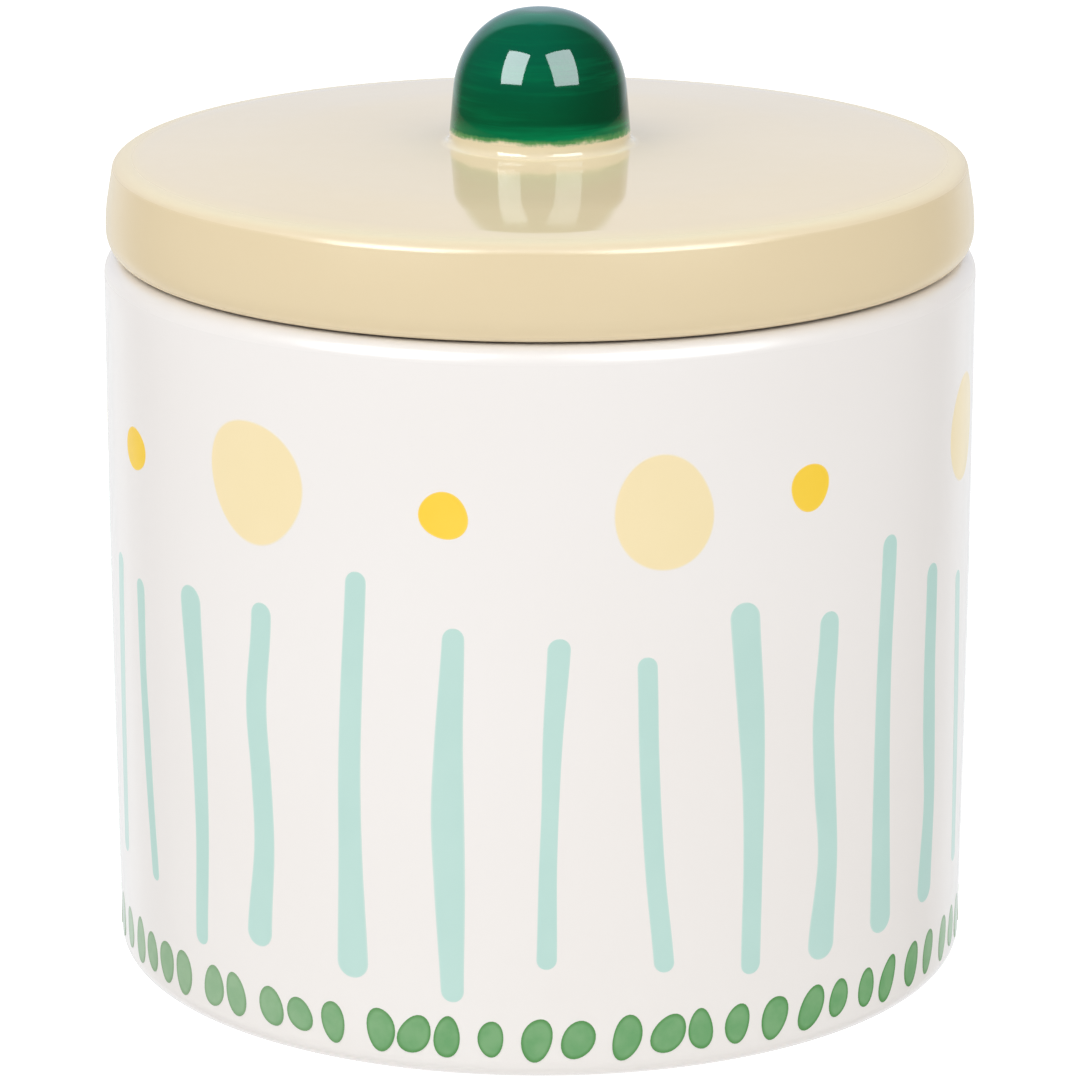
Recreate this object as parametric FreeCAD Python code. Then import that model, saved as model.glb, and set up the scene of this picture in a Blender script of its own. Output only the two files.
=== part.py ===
import FreeCAD, Part
import math
import os

# A round glazed stoneware storage jar with a lift-off lid. All sizes are in millimetres.
# The Z axis runs up the middle of the jar, and the jar's foot stands on Z = 0.

# Jar: a cast tub with a rounded rim and a shallow recess under its floor
jar_radius = 75.0
jar_height = 124.9
jar_draw_in = 0.9
jar_wall = 5.5
jar_floor = 6.5
jar_base_round = 3.8
jar_inside_round = 9.0
rim_outer_round = 3.0
rim_inner_round = 1.2
foot_ring_width = 8.0
foot_recess_depth = 2.0
foot_inner_round = 0.9

# Lid: a thick disc, gently crowned, that lies on the rim
lid_seat_gap = 0.3
lid_inset = 0.45
lid_height = 16.0
lid_crown = 2.3
lid_plate = 6.5
lid_lean = 1.45
lid_side_turn_height = 7.3
lid_side_turn = 2.5
lid_low_round_in = 3.5
lid_low_round_up = 4.6
lid_top_round_down = 1.5
lid_top_round_in = 2.4
lid_ceiling_round = 4.0

# Flange: the ring under the lid that drops into the jar's mouth
flange_side_room = 2.6
flange_depth = 10.0
flange_wall = 5.0
flange_edge_round = 1.2

# Groove in the flange for the seal
groove_depth = 2.0
groove_height = 6.0
groove_drop = 1.5

# Seal: a soft ring with two fins, stretched into the groove
seal_fit_gap = 0.1
seal_wall_gap = 0.3
fin_root_thickness = 1.1
fin_tip_thickness = 0.5
fin_rise = 0.7

# Boss: the low round step on the lid that carries the knob
boss_height = 2.0
boss_fillet = 1.2
boss_step_in = 0.1

# Vent: the hole that lets the hollow under the knob breathe in the kiln
vent_radius = 3.0

# Knob: a thick hollow dome, stuck down on the boss with slip
knob_radius = 15.55
knob_lean = 1.85
knob_height = 20.95
knob_dome_down = 13.6
knob_flat_top = 1.9
knob_wall = 6.4
knob_edge_round = 0.4

# Shares of a length that a long, gentle bend takes up
belly_share = 0.85
crown_out_shares = [0.895, 0.573, 0.174]
crown_rise_shares = [0.325, 0.715, 0.87]
crown_bend_shares = [0.035, 0.08, 0.146]
mid_share = 0.5
fin_place_shares = [0.28, 0.72]


def corner(radius, height, before=0.0, after=0.0):
    """One corner of an outline, and how far the rounding runs back and on from it."""
    return FreeCAD.Vector(radius, 0.0, height), before, after


def distance(start, end):
    return end.sub(start).Length


def towards(start, end, run):
    """The point that lies a given run from start on the way to end."""
    way = end.sub(start)
    return start.add(way.multiply(run / way.Length))


def bend(start, middle, end):
    """A smooth arc that leaves start and reaches end along the two sides of a corner."""
    turn = middle.sub(start).getAngle(end.sub(middle))
    curve = Part.BezierCurve()
    curve.setPoles([start, middle, end])
    curve.setWeight(2, math.cos(turn * mid_share))
    return curve.toShape()


def lathe(outline):
    """Join the corners of an outline, round them, and turn the area about the Z axis."""
    edges = []
    here = outline[0][0]
    for index in range(1, len(outline)):
        point, before, after = outline[index]
        if before > 0.0:
            start = towards(point, here, before)
            end = towards(point, outline[(index + 1) % len(outline)][0], after)
            if distance(here, start) > Part.Precision.confusion():
                edges.append(Part.LineSegment(here, start).toShape())
            edges.append(bend(start, point, end))
            here = end
        elif distance(here, point) > Part.Precision.confusion():
            edges.append(Part.LineSegment(here, point).toShape())
            here = point
    edges.append(Part.LineSegment(here, outline[0][0]).toShape())
    face = Part.Face(Part.Wire(edges))
    return face.revolve(FreeCAD.Vector(0, 0, 0), FreeCAD.Vector(0, 0, 1), 360)


# Places that more than one piece shares
base_radius = jar_radius - jar_draw_in
mouth_radius = jar_radius - jar_wall
inner_foot_radius = base_radius - jar_wall
floor_top = foot_recess_depth + jar_floor
seat_z = jar_height + lid_seat_gap
lid_radius = jar_radius - lid_inset
lid_top = seat_z + lid_height
crown_top = lid_top + lid_crown
boss_top = crown_top + boss_height
boss_radius = knob_radius - boss_step_in
flange_outer = mouth_radius - flange_side_room
flange_inner = flange_outer - flange_wall
flange_low = seat_z - flange_depth
groove_radius = flange_outer - groove_depth
groove_high = seat_z - groove_drop
groove_low = groove_high - groove_height


def mouth_wall(height):
    """The radius of the jar's inner wall at a height, because the wall draws in downwards."""
    down_share = (jar_height - height) / (jar_height - floor_top)
    return mouth_radius - (mouth_radius - inner_foot_radius) * down_share


def make_jar():
    foot_inner = base_radius - jar_base_round - foot_ring_width
    belly_z = jar_height * mid_share
    belly = belly_z * belly_share
    return lathe([
        corner(0.0, foot_recess_depth),
        corner(foot_inner, foot_recess_depth, foot_inner_round, foot_inner_round),
        corner(foot_inner, 0.0, foot_inner_round, foot_inner_round),
        corner(base_radius, 0.0, jar_base_round, jar_base_round),
        corner(jar_radius, belly_z, belly, belly),
        corner(jar_radius, jar_height, rim_outer_round, rim_outer_round),
        corner(mouth_radius, jar_height, rim_inner_round, rim_inner_round),
        corner(inner_foot_radius, floor_top, jar_inside_round, jar_inside_round),
        corner(0.0, floor_top),
    ])


def make_lid():
    ceiling_z = crown_top - lid_plate
    shoulder_radius = lid_radius - lid_lean
    crown_run = shoulder_radius - boss_radius
    crown = []
    for out_share, rise_share, bend_share in zip(crown_out_shares, crown_rise_shares, crown_bend_shares):
        bend_run = crown_run * bend_share
        radius = boss_radius + crown_run * out_share
        crown.append(corner(radius, lid_top + lid_crown * rise_share, bend_run, bend_run))
    return lathe([
        corner(vent_radius, ceiling_z),
        corner(flange_inner, ceiling_z, lid_ceiling_round, lid_ceiling_round),
        corner(flange_inner, flange_low, flange_edge_round, flange_edge_round),
        corner(flange_outer, flange_low, flange_edge_round, flange_edge_round),
        corner(flange_outer, groove_low),
        corner(groove_radius, groove_low),
        corner(groove_radius, groove_high),
        corner(flange_outer, groove_high),
        corner(flange_outer, seat_z),
        corner(lid_radius, seat_z, lid_low_round_in, lid_low_round_up),
        corner(lid_radius, seat_z + lid_side_turn_height, lid_side_turn, lid_side_turn),
        corner(shoulder_radius, lid_top, lid_top_round_down, lid_top_round_in),
        *crown,
        corner(boss_radius, crown_top, boss_fillet, boss_fillet),
        corner(boss_radius, boss_top),
        corner(vent_radius, boss_top),
    ])


def make_knob():
    knob_top = boss_top + knob_height
    hollow_radius = knob_radius - knob_wall
    hollow_top = knob_top - knob_wall
    hollow_dome = knob_dome_down - knob_wall
    dome_radius = knob_radius - knob_lean
    return lathe([
        corner(hollow_radius, boss_top),
        corner(knob_radius, boss_top, knob_edge_round, knob_edge_round),
        corner(dome_radius, knob_top, knob_dome_down, dome_radius - knob_flat_top),
        corner(0.0, knob_top),
        corner(0.0, hollow_top),
        corner(hollow_radius, hollow_top, hollow_radius, hollow_dome),
    ])


def make_seal_ring():
    band_inner = groove_radius + seal_fit_gap
    band_low = groove_low + seal_fit_gap
    band_high = groove_high - seal_fit_gap
    band = [corner(band_inner, band_low), corner(flange_outer, band_low)]
    for place_share in fin_place_shares:
        middle = band_low + (band_high - band_low) * place_share
        tip_z = middle + fin_rise
        tip_radius = mouth_wall(tip_z) - seal_wall_gap
        band += [
            corner(flange_outer, middle - fin_root_thickness * mid_share),
            corner(tip_radius, tip_z - fin_tip_thickness * mid_share),
            corner(tip_radius, tip_z + fin_tip_thickness * mid_share),
            corner(flange_outer, middle + fin_root_thickness * mid_share),
        ]
    band += [corner(flange_outer, band_high), corner(band_inner, band_high)]
    return lathe(band)


os.makedirs("parts", exist_ok=True)
pieces = {
    "jar": make_jar(),
    "lid": make_lid(),
    "knob": make_knob(),
    "seal_ring": make_seal_ring(),
}
for name, piece in pieces.items():
    piece.exportStep("parts/" + name + ".step")
    print(name, piece.isValid(), piece.Volume, piece.BoundBox)
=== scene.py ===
import math
import random

import bmesh
import bpy
from mathutils import Matrix, Vector


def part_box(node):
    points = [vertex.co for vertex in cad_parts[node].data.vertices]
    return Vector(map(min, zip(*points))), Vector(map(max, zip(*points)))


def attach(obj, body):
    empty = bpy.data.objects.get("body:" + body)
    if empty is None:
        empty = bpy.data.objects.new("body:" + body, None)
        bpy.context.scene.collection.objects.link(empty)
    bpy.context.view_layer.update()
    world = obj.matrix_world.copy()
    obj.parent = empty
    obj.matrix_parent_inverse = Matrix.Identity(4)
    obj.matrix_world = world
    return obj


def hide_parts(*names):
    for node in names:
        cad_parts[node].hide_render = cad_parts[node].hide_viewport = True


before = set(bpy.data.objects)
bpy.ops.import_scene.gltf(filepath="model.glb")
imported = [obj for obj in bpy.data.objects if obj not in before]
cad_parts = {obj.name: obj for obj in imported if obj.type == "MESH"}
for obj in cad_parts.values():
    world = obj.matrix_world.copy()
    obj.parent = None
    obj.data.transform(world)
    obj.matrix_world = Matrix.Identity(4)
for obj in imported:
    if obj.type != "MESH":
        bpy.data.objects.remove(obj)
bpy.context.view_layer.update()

# The eye. It stands straight in front of the jar, about a metre off and a third of a metre up,
# and looks down a little through a long lens, so that the jar nearly fills the view.
eye_back = 0.9394
eye_up = 0.3331
eye_lens = 185.9
eye_pitch = math.radians(15.50)

eye = bpy.data.objects.new("eye", bpy.data.cameras.new("eye"))
eye.data.lens = eye_lens
eye.location = (0, -eye_back, eye_up)
eye.rotation_euler = (math.pi / 2 - eye_pitch, 0, 0)
bpy.context.scene.collection.objects.link(eye)
bpy.context.scene.camera = eye


# The jar. A tub of pale clay, slip-cast in a plaster mould, so its wall draws in a little towards
# the foot. Rim and base are sponged round, and a clear glaze over white slip covers all of it
# but the foot ring, which is wiped bare so that it doesn't stick to the kiln shelf.
MM = 0.001
jar_low, jar_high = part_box("jar")
mark_proud = 0.02 * MM
jar_radius = -jar_low.x - mark_proud
jar_height = jar_high.z
jar_draw_in = 0.9 * MM
jar_wall = 5.5 * MM
jar_floor = 6.5 * MM
jar_base_round = 3.8 * MM
jar_inside_round = 9.0 * MM
jar_belly_share = 0.85
rim_outer_round = 3.0 * MM
rim_inner_round = 1.2 * MM
foot_ring_width = 8.0 * MM
foot_recess_depth = 2.0 * MM
foot_inner_round = 0.9 * MM

# How finely the outlines are cut, what counts as one point and what as a crease
small_bend = 5.0 * MM
small_bend_steps = 9
long_bend_steps = 24
turn_steps = 240
weld_gap = 0.0001 * MM
crease_angle = math.radians(40)

# Glaze. Scales are of noise, in swells to the metre, and a pair in patches is where it starts
# to show and where it shows in full.
glaze_refraction = 1.38
glaze_relief = 0.02 * MM
swell_scale = 38.0
swell_detail = 1.5
white_glaze = (0.888, 0.855, 0.831)
warm_tint = (0.985, 0.978, 0.97)
warm_scale = 9.0
warm_patches = (0.35, 0.65)
white_roughness = 0.13
rim_dullness = 0.16
rim_dull_start = 6.0 * MM
rim_dull_full = 2.0 * MM
bare_clay = (0.72, 0.62, 0.50)
bare_dullness = 0.5
wipe_scale = 120.0
foot_wipe_waver = 0.1 * MM
foot_wipe_low = 0.1 * MM
foot_wipe_high = 0.2 * MM


def bent(start, corner, end):
    """Points of the arc that leaves start and reaches end along the two sides of a corner."""
    weight = math.cos((corner - start).angle(end - corner) / 2)
    steps = small_bend_steps if (end - start).length < small_bend else long_bend_steps
    points = []
    for index in range(steps + 1):
        t = index / steps
        near, over, far = (1 - t) ** 2, 2 * weight * t * (1 - t), t ** 2
        points.append((start * near + corner * over + end * far) / (near + over + far))
    return points


def rounded(corners):
    """Points of a closed outline. A corner is a radius and a height, and, where it is rounded,
    how far the rounding runs back and on from it."""
    count = len(corners)
    points = [Vector(corners[0][:2])]
    for index in range(1, count + 1):
        radius, height, *runs = corners[index % count]
        here = Vector((radius, height))
        onward = Vector(corners[(index + 1) % count][:2])
        if runs:
            start = here + (points[-1] - here).normalized() * runs[0]
            end = here + (onward - here).normalized() * runs[1]
            points += bent(start, here, end)
        else:
            points.append(here)
    return points


def object_of(name, bm, material):
    """One finished object, welded, its faces turned outwards, smooth but for its creases."""
    bmesh.ops.remove_doubles(bm, verts=bm.verts, dist=weld_gap)
    bmesh.ops.recalc_face_normals(bm, faces=bm.faces)
    mesh = bpy.data.meshes.new(name)
    bm.to_mesh(mesh)
    bm.free()
    mesh.polygons.foreach_set("use_smooth", [True] * len(mesh.polygons))
    mesh.set_sharp_from_angle(angle=crease_angle)
    mesh.materials.append(material)
    piece = bpy.data.objects.new(name, mesh)
    bpy.context.scene.collection.objects.link(piece)
    return piece


def spin_round(bm, steps):
    """Turn what the mesh holds once round the upright axis."""
    bmesh.ops.spin(bm, geom=bm.verts[:] + bm.edges[:], cent=(0, 0, 0), axis=(0, 0, 1),
                   angle=2 * math.pi, steps=steps, use_merge=True)


def turned(corners, steps=turn_steps):
    """The solid that an outline makes when it is turned about the upright axis."""
    bm = bmesh.new()
    row = [bm.verts.new((point.x, 0, point.y)) for point in rounded(corners)]
    for one, other in zip(row, row[1:]):
        if one.co.x > 0 or other.co.x > 0:
            bm.edges.new((one, other))
    bmesh.ops.remove_doubles(bm, verts=bm.verts, dist=weld_gap)
    spin_round(bm, steps)
    return bm


class Wire:
    """A socket of a material's node tree. Sums on it add their Math nodes."""

    def __init__(self, tree, socket=None):
        self.tree = tree
        self.socket = socket

    def node(self, kind, settings=None, inputs=None, output=0):
        made = self.tree.nodes.new("ShaderNode" + kind)
        for key, value in (settings or {}).items():
            setattr(made, key, value)
        for key, value in (inputs or {}).items():
            self.feed(made.inputs[key], value)
        return Wire(self.tree, made.outputs[output])

    def feed(self, socket, value):
        if isinstance(value, Wire):
            self.tree.links.new(value.socket, socket)
        elif isinstance(value, tuple) and socket.type == "RGBA":
            socket.default_value = (*value, 1)
        else:
            socket.default_value = value

    def sum(self, operation, first, second):
        return self.node("Math", {"operation": operation}, {0: first, 1: second})

    def __add__(self, other):
        return self.sum("ADD", self, other)

    def __sub__(self, other):
        return self.sum("SUBTRACT", self, other)

    def __rsub__(self, other):
        return self.sum("SUBTRACT", other, self)

    def __mul__(self, other):
        return self.sum("MULTIPLY", self, other)

    def __truediv__(self, other):
        return self.sum("DIVIDE", self, other)

    def ramp(self, low, high):
        """0 below low, 1 above high, and a soft step between."""
        return self.node("MapRange", {"interpolation_type": "SMOOTHSTEP"},
                         {"Value": self, "From Min": low, "From Max": high})

    def mixed(self, first, second):
        """The colour first where this is 0 and second where it is 1."""
        first_colour, second_colour, colour = 6, 7, 2
        return self.node("Mix", {"data_type": "RGBA", "clamp_factor": True},
                         {"Factor": self, first_colour: first, second_colour: second}, colour)

    def noise(self, place, scale, detail=2.0, roughness=0.5):
        return self.node("TexNoise", {}, {"Vector": place, "Scale": scale, "Detail": detail,
                                          "Roughness": roughness})


def place_of(wire):
    return wire.node("TexCoord", output="Object")


def axis_of(wire, axis):
    """One coordinate of the piece: X is across, Y is away from the front and Z is up."""
    return wire.node("SeparateXYZ", {}, {"Vector": place_of(wire)}, axis)


def flow(wire):
    """The slow swell that a poured glaze keeps when it sets."""
    return wire.noise(place_of(wire), swell_scale, swell_detail)


def glaze(name, colour, shine, bump, relief=glaze_relief, refraction=glaze_refraction):
    """A fired glaze: a body of colour with a hard, clear gloss."""
    material = bpy.data.materials.new(name)
    material.use_nodes = True
    tree = material.node_tree
    shader = tree.nodes["Principled BSDF"]
    wire = Wire(tree)
    wire.feed(shader.inputs["Base Color"], colour(wire))
    wire.feed(shader.inputs["Roughness"], shine(wire) if callable(shine) else shine)
    wire.feed(shader.inputs["IOR"], refraction)
    lifted = wire.node("Bump", {}, {"Height": bump(wire), "Distance": relief, "Strength": 1.0})
    wire.feed(shader.inputs["Normal"], lifted)
    return material


jar_base_radius = jar_radius - jar_draw_in
mouth_radius = jar_radius - jar_wall
jar_foot_inner = jar_base_radius - jar_base_round - foot_ring_width
floor_top = foot_recess_depth + jar_floor
half_height = jar_height / 2
belly = half_height * jar_belly_share
jar_outline = [
    (0, foot_recess_depth),
    (jar_foot_inner, foot_recess_depth, foot_inner_round, foot_inner_round),
    (jar_foot_inner, 0, foot_inner_round, foot_inner_round),
    (jar_base_radius, 0, jar_base_round, jar_base_round),
    (jar_radius, half_height, belly, belly),
    (jar_radius, jar_height, rim_outer_round, rim_outer_round),
    (mouth_radius, jar_height, rim_inner_round, rim_inner_round),
    (jar_base_radius - jar_wall, floor_top, jar_inside_round, jar_inside_round),
    (0, floor_top),
]
warm_slip = tuple(part * tint for part, tint in zip(white_glaze, warm_tint))


def wiped_foot(wire):
    """1 on the bare ring that the jar stands on."""
    waver = wire.noise(place_of(wire), wipe_scale) * foot_wipe_waver
    return 1.0 - (axis_of(wire, "Z") + waver).ramp(foot_wipe_low, foot_wipe_high)


def white_colour(wire):
    warm = wire.noise(place_of(wire), warm_scale).ramp(*warm_patches)
    return wiped_foot(wire).mixed(warm.mixed(white_glaze, warm_slip), bare_clay)


def white_shine(wire):
    """A hard gloss, duller on the rim's outer edge and on bare clay."""
    rim = axis_of(wire, "Z").ramp(jar_height - rim_dull_start, jar_height - rim_dull_full)
    return wiped_foot(wire) * bare_dullness + rim * rim_dullness + white_roughness


white = glaze("white_glaze", white_colour, white_shine, flow)
jar = object_of("jar_tub", turned(jar_outline), white)
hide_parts("jar")
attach(jar, "jar_body")


# The painted marks. Coloured glaze laid on the white slip with a loaded brush before the clear
# glaze: each lies in the wall as a thin, closed dab with a rounded outline, and stands a hair
# proud of it.
mark_deep = 0.12 * MM
disc_weld = 0.000001
two_sided_waver_share = 0.035
three_sided_waver_share = 0.03
streak_scale = 70.0
streak_detail = 3.0
streak_patches = (0.3, 0.7)
streak_share = 0.6
brim_share = 0.7
# Painted sheen: where the marks begin and finish paling towards white on the jar's left and right
# sides.
left_sheen_start = 18.0 * MM
left_sheen_full = 68.0 * MM
right_sheen_start = 58.0 * MM
right_sheen_full = 78.0 * MM
full_circle = 360
brush = random.Random(7)

wall_middle = mouth_radius + jar_wall / 2
wall_foot = jar_base_round
wall_head = jar_height - rim_outer_round
wall_points = [
    point for point in rounded(jar_outline)
    if point.x > wall_middle and wall_foot <= point.y <= wall_head
]


def wall_radius(height):
    """How far the outside of the wall stands from the axis at a height."""
    for low, high in zip(wall_points, wall_points[1:]):
        if low.y <= height <= high.y:
            return low.x + (high.x - low.x) * (height - low.y) / (high.y - low.y)
    return wall_points[0].x if height < wall_points[0].y else wall_points[-1].x


def onto_wall(verts, sideways, height):
    """Lay a flat mark on the wall: x runs round it, y up it and z out of it."""
    for vert in verts:
        across, up, out = vert.co
        level = height + up
        radius = wall_radius(level)
        angle = sideways + across / radius
        vert.co = ((radius + out) * math.sin(angle), -(radius + out) * math.cos(angle), level)


def thicken(bm):
    """Give a flat mark its depth, and lift its face proud of the wall."""
    back = list(bm.verts)
    grown = bmesh.ops.extrude_face_region(bm, geom=bm.faces[:])
    for vert in back:
        vert.co.z = -mark_deep
    for item in grown["geom"]:
        if isinstance(item, bmesh.types.BMVert):
            item.co.z = mark_proud


def add_to(whole, part):
    """Put one finished mark into the set that it belongs to."""
    mesh = bpy.data.meshes.new("mark")
    part.to_mesh(mesh)
    part.free()
    whole.from_mesh(mesh)
    bpy.data.meshes.remove(mesh)


def dab(uneven, steps, rings, sideways, height, half_width, half_tall, lean=0, egg=0):
    """One round dab of glaze: a disc pulled into an egg, leaned over and laid on the wall."""
    bm = bmesh.new()
    edge = bm.verts.layers.float.new("edge")
    spoke = [bm.verts.new((index / rings, 0, 0)) for index in range(rings + 1)]
    for pair in zip(spoke, spoke[1:]):
        bm.edges.new(pair)
    spin_round(bm, steps)
    bmesh.ops.remove_doubles(bm, verts=bm.verts, dist=disc_weld)
    for vert in bm.verts:
        turn = math.atan2(vert.co.y, vert.co.x)
        swell = 1 + two_sided_waver_share * math.cos(2 * turn + uneven[0])
        swell += three_sided_waver_share * math.cos(3 * turn + uneven[1])
        out = half_width * MM * swell * (1 + egg * vert.co.y)
        vert[edge] = vert.co.length
        vert.co = (vert.co.x * out, vert.co.y * half_tall * MM * swell, 0)
    leaned = Matrix.Rotation(-math.radians(lean), 3, "Z")
    bmesh.ops.rotate(bm, cent=(0, 0, 0), matrix=leaned, verts=bm.verts)
    thicken(bm)
    onto_wall(bm.verts, math.radians(sideways), height * MM)
    return bm


def dabs(rows, wavers, steps, rings):
    """A ring of dabs round the jar, each out of round in its own way."""
    whole = bmesh.new()
    for number, row in enumerate(rows):
        uneven = [waver * number for waver in wavers]
        add_to(whole, dab(uneven, steps, rings, *row))
    return whole


def round_the_back(start, end, count, shift):
    """Angles from the last mark seen to the first: evenly spaced, each shifted by the brush."""
    for index in range(count):
        yield start + (end - start) * (index + 1) / (count + 1) + brush.uniform(-shift, shift)


def drawn(ranges):
    """One draw of the brush from each range, in turn."""
    return [brush.uniform(*span) for span in ranges]


def colour_of(paint, thin, brim, brim_from, scale, painted_sheen):
    """Paint with faint brush streaks and a brim, paled by a painted sheen on the jar's two sides."""
    def made(wire):
        edge = wire.node("Attribute", {"attribute_name": "edge"}, output="Fac")
        streaks = wire.noise(place_of(wire), scale, streak_detail).ramp(*streak_patches)
        body = (streaks * streak_share).mixed(paint, thin)
        rimmed = (edge.ramp(brim_from, 1.0) * brim_share).mixed(body, brim)
        # Painted sheen: the paint pales towards white on the jar's left and right sides.
        across = axis_of(wire, "X")
        left = (0.0 - across).ramp(left_sheen_start, left_sheen_full)
        right = across.ramp(right_sheen_start, right_sheen_full)
        return ((left + right) * painted_sheen).mixed(rimmed, white_glaze)
    return made


def marks(name, bm, paint, thin, brim, brim_from, scale=streak_scale, painted_sheen=0.0):
    """A set of marks of one colour, as one piece that rides with the jar."""
    colour = colour_of(paint, thin, brim, brim_from, scale, painted_sheen)
    piece = object_of(name, bm, glaze(name + "_glaze", colour, white_roughness, flow))
    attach(piece, "jar_body")


# Dots. A belt of pale yellow eggs, two fingers wide, with a small bright yellow dot between each
# pair. Each row: the angle round the jar from the front, the height, half the width and half the
# height in mm, and for an egg its lean to the right in degrees and how far it widens upwards.
pale_yellow = (0.925, 0.775, 0.465)
pale_thin = (0.94, 0.79, 0.49)
pale_brim_from = 0.96
bright_yellow = (0.98, 0.655, 0.062)
bright_thin = (1.0, 0.69, 0.09)
bright_brim = (0.97, 0.70, 0.22)
bright_brim_from = 0.92
large_dots = [
    (-38.7, 98.8, 9.4, 11.05, -28, -0.05),
    (15.6, 96.9, 8.65, 9.6, 3, 0.05),
    (73.4, 98.4, 7.6, 9.2, 4, 0.03),
]
small_dots = [(-65.2, 97.2, 4.15, 3.8), (-12.0, 96.9, 4.15, 3.95), (36.1, 98.3, 4.05, 3.9)]
large_ranges = [(96.8, 98.4), (8.2, 9.6), (9.4, 10.2), (-25, 15), (-0.05, 0.05)]
small_ranges = [(96.6, 98.4), (4.0, 4.3), (3.9, 4.1)]
large_wavers, large_steps, large_rings = (2.1, 1.3), 72, 9
small_wavers, small_steps, small_rings = (1.7, 2.3), 48, 6
back_dots = 8
dot_shift = 1.5

dot_angles = round_the_back(large_dots[-1][0], full_circle + small_dots[0][0], back_dots, dot_shift)
for index, sideways in enumerate(dot_angles):
    if index % 2:
        large_dots.append((sideways, *drawn(large_ranges)))
    else:
        small_dots.append((sideways, *drawn(small_ranges)))

marks("large_dots", dabs(large_dots, large_wavers, large_steps, large_rings),
      pale_yellow, pale_thin, white_glaze, pale_brim_from)
marks("small_dots", dabs(small_dots, small_wavers, small_steps, small_rings),
      bright_yellow, bright_thin, bright_brim, bright_brim_from)


# Strokes. Tall mint strokes of a round brush, pressed harder here and there, which stand like
# reeds all round the jar. Each row: the heights of foot and top in mm, then five angles from the
# front in degrees and five widths in mm on the way up.
mint = (0.512, 0.728, 0.670)
mint_thin = (0.545, 0.755, 0.695)
mint_brim = (0.70, 0.80, 0.75)
mint_brim_from = 0.86
strokes = [
    (22.0, 76.5, (-74.6, -74.3, -74.0, -73.6, -73.2), (3.4, 3.5, 3.5, 3.5, 3.5)),
    (21.8, 74.7, (-62.4, -63.2, -63.8, -64.4, -64.5), (2.7, 2.8, 3.1, 2.9, 3.3)),
    (14.7, 77.8, (-50.2, -49.7, -49.8, -50.2, -50.9), (3.4, 3.6, 4.0, 4.7, 5.4)),
    (18.0, 78.3, (-38.9, -38.0, -38.3, -38.9, -38.0), (5.2, 4.4, 4.4, 4.5, 4.3)),
    (16.0, 86.3, (-24.7, -24.8, -24.8, -24.4, -23.8), (5.4, 4.4, 4.1, 4.0, 3.8)),
    (13.6, 78.1, (-11.3, -11.5, -11.7, -11.5, -11.0), (4.2, 5.2, 5.6, 4.8, 4.0)),
    (19.8, 76.7, (0.9, 1.0, 1.3, 1.6, 2.2), (3.3, 3.0, 2.9, 3.3, 3.7)),
    (18.3, 73.0, (15.7, 14.8, 14.2, 13.8, 13.6), (3.5, 3.4, 3.4, 3.4, 3.4)),
    (15.9, 80.6, (28.1, 28.2, 28.1, 27.6, 26.8), (3.7, 3.7, 4.2, 5.1, 5.4)),
    (15.6, 76.4, (39.4, 40.1, 39.4, 38.9, 39.5), (5.5, 4.4, 4.8, 4.7, 4.3)),
    (16.6, 86.6, (50.7, 50.4, 50.2, 50.3, 50.8), (5.6, 4.9, 4.3, 4.0, 4.0)),
    (17.8, 78.3, (62.4, 63.0, 62.4, 62.0, 62.1), (5.3, 4.5, 5.0, 4.6, 4.3)),
    (20.0, 73.5, (74.9, 74.4, 73.9, 73.3, 72.8), (3.2, 3.3, 3.3, 3.3, 3.2)),
]
stroke_columns, stroke_rows = 8, 56
back_strokes = 16
stroke_shift = 1.0
stroke_foot_shift = 1.5
stroke_top_shift = 2.0

halfway = len(strokes[0][2]) // 2
strokes_to_copy = len(strokes) - 1
first_stroke, last_stroke = strokes[0][2][halfway], strokes[-1][2][halfway]
stroke_angles = round_the_back(last_stroke, full_circle + first_stroke, back_strokes, stroke_shift)
for index, sideways in enumerate(stroke_angles):
    foot, top, angles, widths = strokes[(index + 1) % strokes_to_copy]
    foot += brush.uniform(-stroke_foot_shift, stroke_foot_shift)
    top += brush.uniform(-stroke_top_shift, stroke_top_shift)
    moved = tuple(sideways + angle - angles[halfway] for angle in angles)
    strokes.append((foot, top, moved, widths))


def through(values, share):
    """A smooth run through the values, each in the middle of its own part of the way up."""
    place = share * len(values) - 0.5
    first = min(max(int(place), 0), len(values) - 2)
    t = place - first
    row = (2 * values[0] - values[1], *values, 2 * values[-1] - values[-2])
    before, one, other, after = row[first:first + 4]
    slope = other - before
    bow = 2 * before - 5 * one + 4 * other - after
    twist = 3 * (one - other) + after - before
    return one + t / 2 * (slope + t * (bow + t * twist))


def stroke(foot, top, angles, widths):
    """One stroke with round ends: a strip whose middle and width follow the brush up the wall."""
    bm = bmesh.new()
    edge = bm.verts.layers.float.new("edge")
    bmesh.ops.create_grid(bm, x_segments=stroke_columns, y_segments=stroke_rows, size=1.0)
    for vert in bm.verts:
        across, share = vert.co.x, (1 - math.cos(math.pi * (vert.co.y + 1) / 2)) / 2
        level = foot + (top - foot) * share
        half = through(widths, share) / 2
        ends = min(1.0, min(level - foot, top - level) / half)
        cap = math.sqrt(max(0.0, 1 - (1 - ends) ** 2))
        middle = math.radians(through(angles, share)) * wall_radius(level * MM)
        vert[edge] = max(abs(across), 1 - ends)
        vert.co = (middle + across * half * cap * MM, level * MM, 0)
    bmesh.ops.remove_doubles(bm, verts=bm.verts, dist=weld_gap)
    thicken(bm)
    onto_wall(bm.verts, 0.0, 0.0)
    return bm


reeds = bmesh.new()
for row in strokes:
    add_to(reeds, stroke(*row))
marks("strokes", reeds, mint, mint_thin, mint_brim, mint_brim_from)


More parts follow.
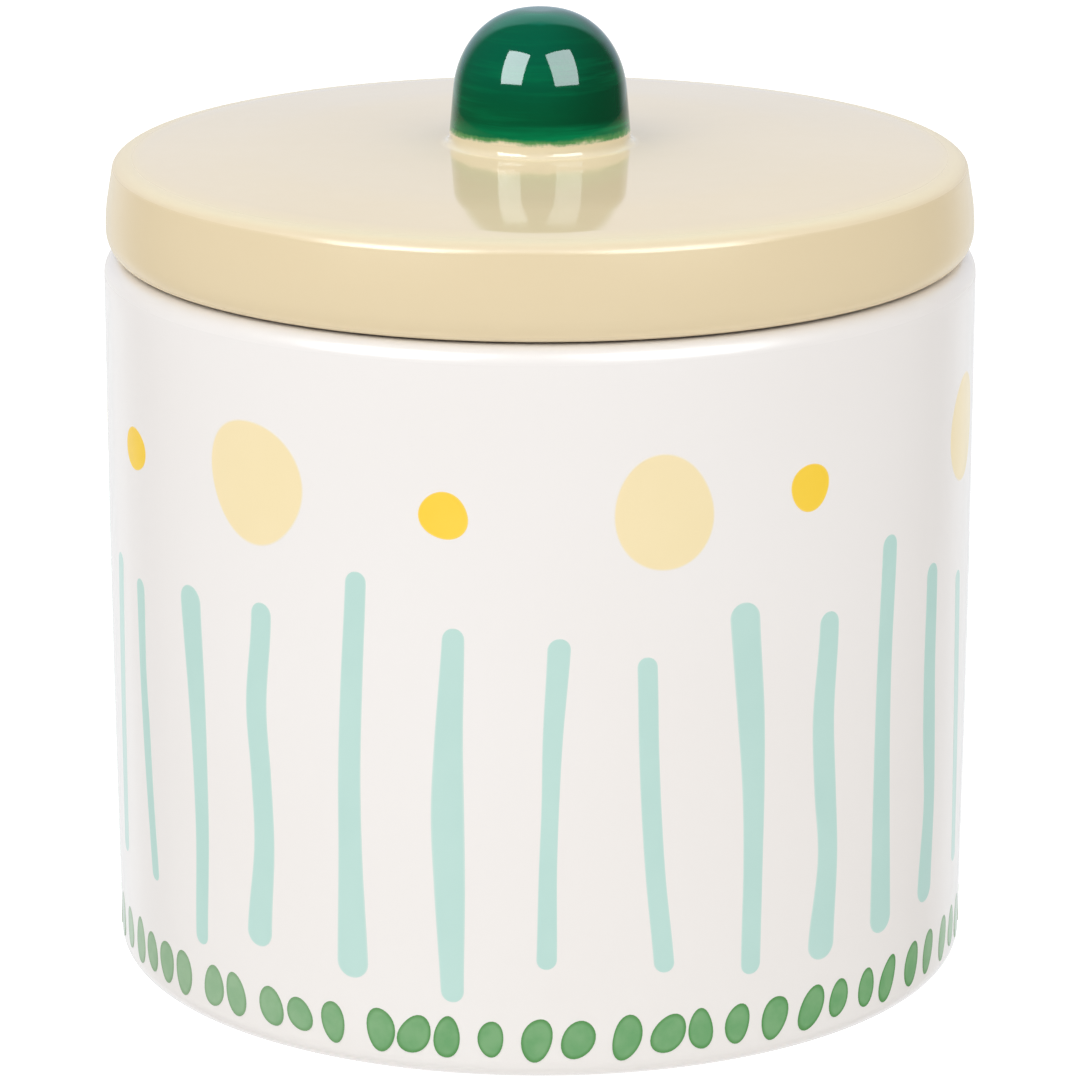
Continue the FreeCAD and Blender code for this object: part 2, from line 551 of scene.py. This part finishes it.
# Oval border. Green ovals like pebbles, one brush press each, which lean this way and that in a
# ring just above the foot. Each row: the angle from the front, the height, half the width and
# half the height in mm, and the lean to the right in degrees.
pebble_green = (0.165, 0.385, 0.165)
pebble_thin = (0.25, 0.46, 0.23)
pebble_brim = (0.075, 0.26, 0.06)
pebble_brim_from = 0.74
pebble_streak_scale = 300.0
# How strongly the ovals' painted sheen pales them on the jar's two sides.
pebble_painted_sheen = 0.22
pebbles = [
    (-80.0, 8.0, 2.2, 4.2, 0), (-73.9, 8.2, 2.2, 3.6, -4), (-68.6, 8.2, 2.2, 4.2, -4),
    (-64.1, 8.1, 2.2, 3.6, -6), (-59.5, 8.1, 2.6, 3.6, -4), (-54.9, 7.95, 2.4, 4.1, -6),
    (-48.1, 8.0, 2.6, 3.65, 10), (-43.7, 7.9, 2.35, 3.8, -16), (-37.4, 7.8, 2.45, 3.6, -16),
    (-32.8, 7.7, 2.5, 2.95, -28), (-27.7, 7.6, 2.15, 3.7, -12), (-20.9, 7.5, 2.5, 3.85, -2),
    (-16.3, 7.4, 2.75, 3.5, 28), (-12.0, 7.35, 2.15, 3.8, 4), (-6.3, 7.4, 2.2, 3.1, 6),
    (-0.4, 7.4, 2.55, 3.85, 9), (4.9, 7.4, 2.65, 3.6, 32), (11.2, 7.35, 2.5, 3.95, 15),
    (16.7, 7.4, 2.7, 3.75, 32), (21.1, 7.6, 2.2, 3.6, 0), (26.3, 7.5, 2.3, 3.45, 8),
    (31.9, 7.3, 2.45, 4.0, 18), (37.9, 7.45, 2.5, 4.0, 30), (42.7, 7.7, 2.1, 3.4, 12),
    (48.1, 7.65, 2.0, 3.5, 12), (52.8, 7.6, 2.1, 4.1, 22), (59.0, 7.9, 2.2, 4.1, 14),
    (64.2, 8.1, 2.0, 3.9, 18), (70.2, 8.0, 2.0, 4.0, 10), (75.0, 8.1, 2.0, 3.8, 8),
]
pebble_ranges = [(7.4, 8.0), (2.1, 2.8), (3.2, 4.0)]
pebble_leans = (-14, -8, 0, 0, 10, 24)
pebble_wavers, pebble_steps, pebble_rings = (2.4, 1.1), 28, 4
pebble_egg = 0.06
pebble_egg_waver = 1.9
back_pebbles = 37
pebble_shift = 0.5

pebble_angles = round_the_back(pebbles[-1][0], full_circle + pebbles[0][0], back_pebbles, pebble_shift)
for sideways in pebble_angles:
    pebbles.append((sideways, *drawn(pebble_ranges), brush.choice(pebble_leans)))

eggs = [(*row, pebble_egg * math.sin(pebble_egg_waver * number)) for number, row in enumerate(pebbles)]
marks("oval_border", dabs(eggs, pebble_wavers, pebble_steps, pebble_rings),
      pebble_green, pebble_thin, pebble_brim, pebble_brim_from, pebble_streak_scale, pebble_painted_sheen)


# The lid. A thick disc cast in one with the flange below it and the low boss that carries the
# knob, dipped in beige glaze. Its top is gently crowned; its edge leans in and is sponged round.
# The seat that rests on the rim is wiped bare.
lid_low, lid_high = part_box("lid")
knob_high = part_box("knob")[1]
lid_radius = -lid_low.x
lid_seat_gap = 0.3 * MM
lid_height = 16.0 * MM
lid_crown = 2.3 * MM
lid_plate = 6.5 * MM
lid_lean = 1.45 * MM
lid_side_turn_height = 7.3 * MM
lid_side_turn = 2.5 * MM
lid_low_round_in = 3.5 * MM
lid_low_round_up = 4.6 * MM
lid_top_round_down = 1.5 * MM
lid_top_round_in = 2.4 * MM
lid_ceiling_round = 4.0 * MM
crown_shares = [(0.895, 0.325, 0.035), (0.573, 0.715, 0.08), (0.174, 0.87, 0.146)]
flange_side_room = 2.6 * MM
flange_wall = 5.0 * MM
flange_edge_round = 1.2 * MM
groove_depth = 2.0 * MM
groove_height = 6.0 * MM
groove_drop = 1.5 * MM
boss_step_in = 0.05 * MM
boss_fillet = 1.2 * MM
vent_radius = 3.0 * MM

# Its glaze lies thicker and yellower on the side and breaks thin and pale at the shoulder, where the
# pale band is partly thin glaze and partly painted highlight. A zone is how far from the axis a
# change begins and where it is complete.
beige_glaze = (0.80, 0.665, 0.44)
beige_thin = (0.86, 0.75, 0.56)
beige_side = (0.775, 0.638, 0.407)
collar_beige = (0.875, 0.767, 0.552)
beige_relief = 0.03 * MM
mottle_scale, mottle_detail, mottle_patches, mottle_share = 26.0, 3.0, (0.35, 0.7), 0.12
fine_scale, fine_patches, fine_share = 260.0, (0.4, 0.75), 0.06
collar_inner = 0.3 * MM
collar_outer = 2.0 * MM
# The shoulder's pale band, partly thin glaze and partly painted highlight.
thin_and_highlit_zone = (69.0 * MM, 72.0 * MM)
thin_and_highlit_share = 0.25
side_zone = (72.9 * MM, 73.3 * MM)
side_share = 0.6
top_roughness = 0.08
turning_zone = (66.0 * MM, 72.0 * MM)
turning_dullness = 0.28
side_gloss = 0.14
seat_wipe_waver = 0.4 * MM
seat_wipe_above = (0.2 * MM, 0.6 * MM)
seat_wipe_below = (3.0 * MM, 1.2 * MM)

lid_seat = jar_height + lid_seat_gap
lid_top = lid_seat + lid_height
crown_top = lid_top + lid_crown
boss_top = lid_high.z
knob_foot_radius = knob_high.x
boss_radius = knob_foot_radius - boss_step_in
shoulder = lid_radius - lid_lean
crown_run = shoulder - boss_radius
crown = [
    (boss_radius + crown_run * out, lid_top + lid_crown * rise, crown_run * bend, crown_run * bend)
    for out, rise, bend in crown_shares
]
collar_zone = (boss_radius + collar_inner, boss_radius + collar_outer)
flange_outer = mouth_radius - flange_side_room
flange_inner = flange_outer - flange_wall
groove_radius = flange_outer - groove_depth
groove_high = lid_seat - groove_drop
groove_low = groove_high - groove_height
lid_outline = [
    (vent_radius, crown_top - lid_plate),
    (flange_inner, crown_top - lid_plate, lid_ceiling_round, lid_ceiling_round),
    (flange_inner, lid_low.z, flange_edge_round, flange_edge_round),
    (flange_outer, lid_low.z, flange_edge_round, flange_edge_round),
    (flange_outer, groove_low),
    (groove_radius, groove_low),
    (groove_radius, groove_high),
    (flange_outer, groove_high),
    (flange_outer, lid_seat),
    (lid_radius, lid_seat, lid_low_round_in, lid_low_round_up),
    (lid_radius, lid_seat + lid_side_turn_height, lid_side_turn, lid_side_turn),
    (shoulder, lid_top, lid_top_round_down, lid_top_round_in),
    *crown,
    (boss_radius, crown_top, boss_fillet, boss_fillet),
    (boss_radius, boss_top),
    (vent_radius, boss_top),
]


def beyond(wire, zone):
    """0 nearer to the upright axis than the zone, and 1 farther out than it."""
    across, along = axis_of(wire, "X"), axis_of(wire, "Y")
    return (across * across + along * along).ramp(zone[0] ** 2, zone[1] ** 2)


def wiped_seat(wire):
    """1 on the bare ring of the lid that lies on the rim."""
    ragged = axis_of(wire, "Z") + wire.noise(place_of(wire), wipe_scale) * seat_wipe_waver
    past_top = ragged.ramp(*[lid_seat + part for part in seat_wipe_above])
    past_foot = ragged.ramp(*[lid_seat - part for part in seat_wipe_below])
    return (1.0 - past_top) * past_foot


def beige_colour(wire):
    mottle = wire.noise(place_of(wire), mottle_scale, mottle_detail).ramp(*mottle_patches)
    fine = wire.noise(place_of(wire), fine_scale).ramp(*fine_patches)
    dipped = (mottle * mottle_share + fine * fine_share).mixed(beige_glaze, beige_thin)
    # Painted highlight: the shoulder is paler, partly from thin glaze and partly from the lamps'
    # highlight painted in.
    thin_and_highlit = (beyond(wire, thin_and_highlit_zone) * thin_and_highlit_share).mixed(dipped, beige_thin)
    top = beyond(wire, collar_zone).mixed(collar_beige, thin_and_highlit)
    side = beyond(wire, side_zone)
    pooled = (side * side_share).mixed(dipped, beige_side)
    return wiped_seat(wire).mixed(side.mixed(top, pooled), bare_clay)


def beige_shine(wire):
    """A hard gloss on top, which softens where the edge turns down."""
    dullness = turning_dullness - beyond(wire, side_zone) * side_gloss
    turning = beyond(wire, turning_zone) * dullness
    return wiped_seat(wire) * bare_dullness + turning + top_roughness


beige = glaze("beige_glaze", beige_colour, beige_shine, flow, beige_relief)
lid = object_of("lid_disc", turned(lid_outline), beige)
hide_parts("lid")
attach(lid, "lid_body")


# The knob. A thick, hollow dome, cast apart and stuck on the boss with slip. Dark green glaze is
# brushed on as it turns, so its streaks run level, and it thins to yellow-green at its lower
# edge, where it meets the beige.
knob_lean = 1.85 * MM
knob_dome_down = 13.6 * MM
knob_flat_top = 1.9 * MM
knob_wall = 6.4 * MM
knob_edge_round = 0.04 * MM
knob_seam = 0.01 * MM
knob_steps = 160
knob_top = knob_high.z
knob_foot = boss_top + knob_seam
dome_radius = knob_foot_radius - knob_lean
hollow = knob_foot_radius - knob_wall
knob_outline = [
    (hollow, knob_foot),
    (knob_foot_radius, knob_foot, knob_edge_round, knob_edge_round),
    (dome_radius, knob_top, knob_dome_down, dome_radius - knob_flat_top),
    (0, knob_top),
    (0, knob_top - knob_wall),
    (hollow, knob_top - knob_wall, hollow, knob_dome_down - knob_wall),
]

# Its glaze is painted darker on the right as shade, streaky above its lower edge, and ends there in a
# ragged line
green_glaze = (0.0, 0.105, 0.052)
green_deep = (0.0, 0.092, 0.034)
green_light = (0.0, 0.215, 0.078)
# The green of the painted shade on the knob's right side.
green_shaded = (0.0, 0.050, 0.018)
green_thin = (0.11, 0.33, 0.11)
green_refraction = 1.42
green_roughness = 0.05
green_tilt = 0.3 * MM
green_rise = 0.3 * MM
green_end = boss_top + green_rise
deep_rise = 3.5 * MM
body_rise = 14.0 * MM
# Painted shade: how far right of the axis the green begins and finishes darkening, and by how much.
shade_start = -1.0 * MM
shade_full = 12.0 * MM
shade_share = 0.8
sparse_rise = 1.3 * MM
covered_rise = 3.4 * MM
level_stretch = (30.0, 30.0, 520.0)
level_scale, level_detail, level_roughness, level_patches = 1.0, 4.0, 0.65, (0.46, 0.74)
level_share = 0.4
sparse_streak_share = 0.5
sparse_share = 0.6
ragged_scale, ragged_detail, ragged_reach = 90.0, 3.0, 2.0 * MM
hair_scale, hair_detail, hair_roughness, hair_reach = 1.6, 3.0, 0.7, 1.2 * MM
speck_scale, speck_reach = 1100.0, 0.7 * MM
ragged_middle = 2.0 * MM
thin_rise = 0.9 * MM
bare_drop = 0.5 * MM
bare_rise = 0.2 * MM


def green_colour(wire):
    place = place_of(wire)
    tilt = axis_of(wire, "Y") * (green_tilt / knob_foot_radius)
    upright = axis_of(wire, "Z") + tilt
    level = wire.node("Mapping", {}, {"Vector": place, "Scale": level_stretch})
    streaks = wire.noise(level, level_scale, level_detail, level_roughness).ramp(*level_patches)
    pooled = upright.ramp(boss_top + deep_rise, boss_top + body_rise).mixed(green_deep, green_glaze)
    # Painted shade: the green turns darker towards the right side, where less light falls.
    painted_shade = axis_of(wire, "X").ramp(shade_start, shade_full) * shade_share
    sparse = 1.0 - upright.ramp(green_end + sparse_rise, green_end + covered_rise)
    light = streaks * level_share + sparse * (streaks * sparse_streak_share + sparse_share)
    brushed = light.mixed(painted_shade.mixed(pooled, green_shaded), green_light)
    hairs = wire.noise(level, hair_scale, hair_detail, hair_roughness) * hair_reach
    specks = wire.noise(place, speck_scale) * speck_reach
    waver = wire.noise(place, ragged_scale, ragged_detail) * ragged_reach
    ragged = upright + waver + hairs + specks - ragged_middle
    thin = 1.0 - ragged.ramp(green_end, green_end + thin_rise)
    bare = 1.0 - ragged.ramp(green_end - bare_drop, green_end + bare_rise)
    return bare.mixed(thin.mixed(brushed, green_thin), collar_beige)


green = glaze("green_glaze", green_colour, green_roughness, flow, refraction=green_refraction)
knob = object_of("knob_dome", turned(knob_outline, knob_steps), green)
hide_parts("knob")
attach(knob, "lid_body")


# The seal. A moulded ring of soft, milky silicone with two fins, stretched into the groove of
# the lid's flange, where it grips the inside of the mouth.
seal_low, seal_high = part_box("seal_ring")
seal_tip = seal_high.x
seal_fit_gap = 0.1 * MM
seal_band = groove_radius + seal_fit_gap
fin_root = 1.1 * MM
fin_tip = 0.5 * MM
fin_rise = 0.7 * MM
fin_place_shares = (0.28, 0.72)
milky = (0.80, 0.80, 0.77)
milky_dust = (0.70, 0.69, 0.65)
dust_scale, dust_detail, dust_patches, dust_share = 90.0, 3.0, (0.45, 0.8), 0.3
silicone_roughness = 0.42
silicone_grain = 900.0
silicone_relief = 0.01 * MM

seal_outline = [(seal_band, seal_low.z), (flange_outer, seal_low.z)]
for fin_share in fin_place_shares:
    fin = seal_low.z + (seal_high.z - seal_low.z) * fin_share
    seal_outline += [
        (flange_outer, fin - fin_root / 2),
        (seal_tip, fin + fin_rise - fin_tip / 2),
        (seal_tip, fin + fin_rise + fin_tip / 2),
        (flange_outer, fin + fin_root / 2),
    ]
seal_outline += [(flange_outer, seal_high.z), (seal_band, seal_high.z)]


def milky_colour(wire):
    dust = wire.noise(place_of(wire), dust_scale, dust_detail).ramp(*dust_patches)
    return (dust * dust_share).mixed(milky, milky_dust)


def moulded(wire):
    """The fine, even grain that a moulded rubber face has."""
    return wire.noise(place_of(wire), silicone_grain)


silicone = glaze("silicone", milky_colour, silicone_roughness, moulded, silicone_relief)
seal = object_of("seal_band", turned(seal_outline), silicone)
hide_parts("seal_ring")
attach(seal, "lid_body")


# The stage. A white table in a white room, two square lamps in front, left and right, and soft
# light from all round. The lamps' bright cloths show only in the glaze. Each lamp's row: angle
# from the front, angle up, roll, width and height as shares of its distance, watts, cloth glow.
floor_half = 3.0
floor_colour = (0.55, 0.55, 0.55)
floor_glow = 0.48
floor_lift = 0.27
plain_white = (1.0, 1.0, 1.0)
lamp_distance = 2.0
lamp_aim_height = 0.15
lamps = {
    "left": (-43.5, 38.0, 7.0, 0.54, 0.71, 9.0, 19.0),
    "right": (40.0, 38.7, -5.0, 0.63, 0.77, 4.8, 14.2),
}
cloth_colour = (0.86, 0.95, 1.0)

lamp_aim = Vector((0, 0, lamp_aim_height))
floor_material = bpy.data.materials.new("floor_white")
floor_material.use_nodes = True
wire = Wire(floor_material.node_tree)
out = floor_material.node_tree.nodes["Material Output"]
seen = wire.node("LightPath", output="Is Camera Ray")
clear = wire.node("LightPath", output="Is Transmission Ray")
matt = wire.node("BsdfDiffuse", {}, {"Color": floor_colour})
glow = wire.node("Emission", {}, {"Color": plain_white,
                                  "Strength": (seen + clear) * floor_lift + floor_glow})
whole = wire.node("AddShader", {}, {0: matt, 1: glow})
wire.feed(out.inputs["Surface"], whole)
bm = bmesh.new()
bmesh.ops.create_grid(bm, x_segments=1, y_segments=1, size=floor_half)
floor = object_of("floor", bm, floor_material)
floor.visible_glossy = False

for side, (azimuth, elevation, roll, wide_share, tall_share, watts, cloth_glow) in lamps.items():
    turn = math.radians(azimuth)
    rise = math.radians(elevation)
    outward = math.cos(rise)
    way = Vector((math.sin(turn) * outward, -math.cos(turn) * outward, math.sin(rise)))
    facing = way.to_track_quat("Z", "Y").to_matrix().to_4x4()
    rolled = Matrix.Rotation(math.radians(roll), 4, "Z")
    spot = Matrix.Translation(lamp_aim + way * lamp_distance) @ facing @ rolled
    light = bpy.data.lights.new("lamp_" + side, "AREA")
    light.shape = "RECTANGLE"
    light.size, light.size_y = wide_share * lamp_distance, tall_share * lamp_distance
    light.energy = watts
    lamp = bpy.data.objects.new("lamp_" + side, light)
    lamp.matrix_world = spot
    lamp.visible_glossy = False
    bpy.context.scene.collection.objects.link(lamp)
    bm = bmesh.new()
    bmesh.ops.create_grid(bm, x_segments=1, y_segments=1, size=1 / 2)
    bmesh.ops.scale(bm, vec=(light.size, light.size_y, 1), verts=bm.verts)
    bmesh.ops.transform(bm, matrix=spot, verts=bm.verts)
    cloth_material = bpy.data.materials.new("cloth_" + side)
    cloth_material.use_nodes = True
    wire = Wire(cloth_material.node_tree)
    glow = wire.node("Emission", {}, {"Color": cloth_colour, "Strength": cloth_glow})
    wire.feed(cloth_material.node_tree.nodes["Material Output"].inputs["Surface"], glow)
    cloth = object_of("cloth_" + side, bm, cloth_material)
    cloth.visible_camera = False
    cloth.visible_diffuse = False
    cloth.visible_shadow = False

# The room. The eye sees it plain white, and what it lights gets more light from above. Only the
# glaze mirrors its back wall, which is bright behind the jar and bluer and greener higher up.
# Rises and edges are measured on a direction of length one.
room_light = 0.688
light_above = 1.20
light_all_round = 0.50
room_dark = 0.10
low_tint = (0.88, 0.91, 0.94)
band_tint = (0.72, 0.81, 1.0)
high_tint = (0.75, 1.45, 1.45)
top_tint = (0.10, 0.95, 0.80)
band_rise = (-0.03, 0.03)
high_rise = (0.30, 0.70)
top_rise = (0.80, 0.95)
wall_edge = 0.17
wall_edge_aside = 0.46
wall_edge_above = 0.15
edge_softness = 0.50
edge_hardening = 0.38
edge_rise = (-0.10, 0.90)

world = bpy.data.worlds.new("room")
world.use_nodes = True
bpy.context.scene.world = world
wire = Wire(world.node_tree)
direction = wire.node("TexCoord", output="Generated")
across = wire.node("SeparateXYZ", {}, {"Vector": direction}, "X")
ahead = wire.node("SeparateXYZ", {}, {"Vector": direction}, "Y")
above = wire.node("SeparateXYZ", {}, {"Vector": direction}, "Z")
seen = wire.node("LightPath", output="Is Camera Ray")
mirrored = wire.node("LightPath", output="Is Glossy Ray")
clear = wire.node("LightPath", output="Is Transmission Ray")
aside = wire.sum("ABSOLUTE", across, 0.0)
softness = edge_softness - above.ramp(*edge_rise) * edge_hardening
inside = ahead - aside * wall_edge_aside - above * wall_edge_above - wall_edge
behind = (inside / softness).ramp(0.0, 1.0)
low_wall = above.ramp(*band_rise).mixed(low_tint, band_tint)
high_wall = above.ramp(*high_rise).mixed(low_wall, high_tint)
back_wall = above.ramp(*top_rise).mixed(high_wall, top_tint)
mirror_colour = behind.mixed(tuple(part * room_dark for part in low_tint), back_wall)
soft_light = (above * light_above + light_all_round) * room_light
plain_light = wire.node("CombineColor", {}, {0: soft_light, 1: soft_light, 2: soft_light})
plain_colour = (seen + clear).mixed(plain_light, plain_white)
room_colour = mirrored.mixed(plain_colour, mirror_colour)
background = wire.node("Background", {}, {"Color": room_colour, "Strength": 1.0})
wire.feed(world.node_tree.nodes["World Output"].inputs["Surface"], background)

bpy.context.scene.view_settings.view_transform = "Standard"
